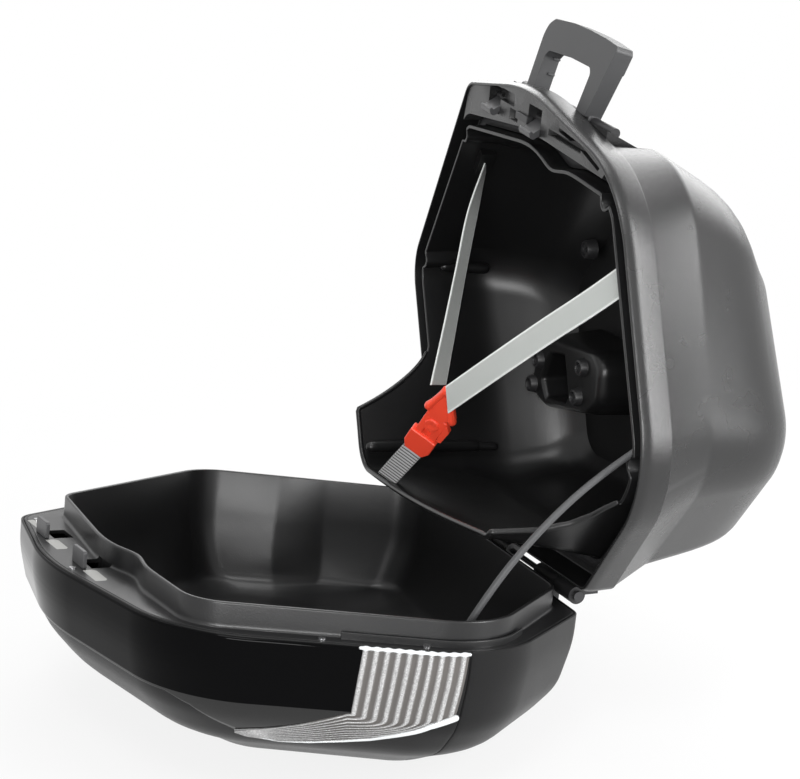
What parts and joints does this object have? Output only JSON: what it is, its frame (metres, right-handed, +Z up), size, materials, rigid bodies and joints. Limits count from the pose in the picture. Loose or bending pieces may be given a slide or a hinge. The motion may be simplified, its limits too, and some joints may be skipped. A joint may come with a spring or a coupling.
{
  "type": "motorcycle side case",
  "caption": "Hard motorcycle side case that opens like a clamshell on a bottom hinge, with a carry handle, twin latch claws, luggage straps and a ribbed reflector.",
  "frame": {"origin": "centre of the outer face of the rack plate on the back of the bike-side shell", "axes": "+X out of the rack plate towards the bike, +Y along the hinge towards the front of the bike, +Z up"},
  "size_m": [0.5643, 0.4919, 0.551],
  "materials": {
    "shell": "fine moulded grain",
    "inner": "satin moulded",
    "gloss": "polished black",
    "lens": "clear ribbed",
    "silver": "reflective",
    "steel": "plated",
    "red": "satin red",
    "strap": "woven elastic",
    "webbing": "striped webbing",
    "cord": "braided",
    "rubber": "matte",
    "grey": "satin"
  },
  "bodies": {
    "base": {"base_shell": "shell", "rim_seal": "rubber", "latch_plate": "shell", "handle_housing": "shell", "lock_sleeve": "steel", "hinge_leaf_base": "shell", "hinge_pin": "steel", "mount_plate": "shell", "mount_screws": "steel", "mount_housing": "shell", "housing_screws": "steel", "check_cord": "cord", "cord_anchor_base": "shell", "strap_front": "strap", "strap_rear": "strap", "strap_anchor_front": "shell", "strap_anchor_rear": "shell", "buckle_ring": "red", "buckle_socket": "red", "pull_webbing": "webbing"},
    "lid": {"lid_tub": "inner", "lid_cover": "shell", "gloss_panel": "gloss", "reflector_lens": "lens", "reflector_back": "silver", "lid_catch_rear": "shell", "lid_catch_front": "shell", "panel_screws": "steel", "hinge_leaf_lid": "shell", "cord_anchor_lid": "shell"},
    "handle": {"handle": "grey", "handle_shaft": "steel"},
    "claws": {"claw_rear": "shell", "claw_front": "shell", "claw_shaft": "steel"},
    "lock": {"lock_cylinder": "steel"},
    "bolt": {"rack_bolt": "steel"},
    "tab": {"buckle_tab": "red"}
  },
  "joints": [
    {"name": "lid_hinge", "type": "hinge", "parent": "base", "child": "lid", "pos_m": [-0.158, 0, -0.19], "axis": [0, 1, 0], "range_deg": [0, 84], "deforming": ["check_cord"]},
    {"name": "handle_lift", "type": "hinge", "parent": "base", "child": "handle", "pos_m": [-0.13, -0.03, 0.188], "axis": [0, 0.9681, 0.2504], "range_deg": [0, 101]},
    {"name": "claw_turn", "type": "hinge", "parent": "base", "child": "claws", "pos_m": [-0.152, -0.02775, 0.17929], "axis": [0, 0.9681, 0.2504], "range_deg": [0, 26]},
    {"name": "lock_turn", "type": "hinge", "parent": "base", "child": "lock", "pos_m": [-0.09944, -0.04757, 0.16806], "axis": [0.4384, -0.225, 0.8702], "range_deg": [0, 90]},
    {"name": "bolt_slide", "type": "slide", "parent": "base", "child": "bolt", "axis": [0, 0, 1], "range_m": [0, 0.006], "stiffness_N_per_m": 300, "springref_m": -0.004},
    {"name": "tab_press", "type": "hinge", "parent": "base", "child": "tab", "pos_m": [-0.22998, 0.00009, -0.07324], "axis": [0.7299, -0.3831, -0.5661], "range_deg": [0, 6], "stiffness_Nm_per_rad": 0.02, "springref_deg": -11.46}
  ],
  "couplings": [
    {"joint": "claw_turn", "follows": "handle_lift", "ratio": 0.25}
  ]
}
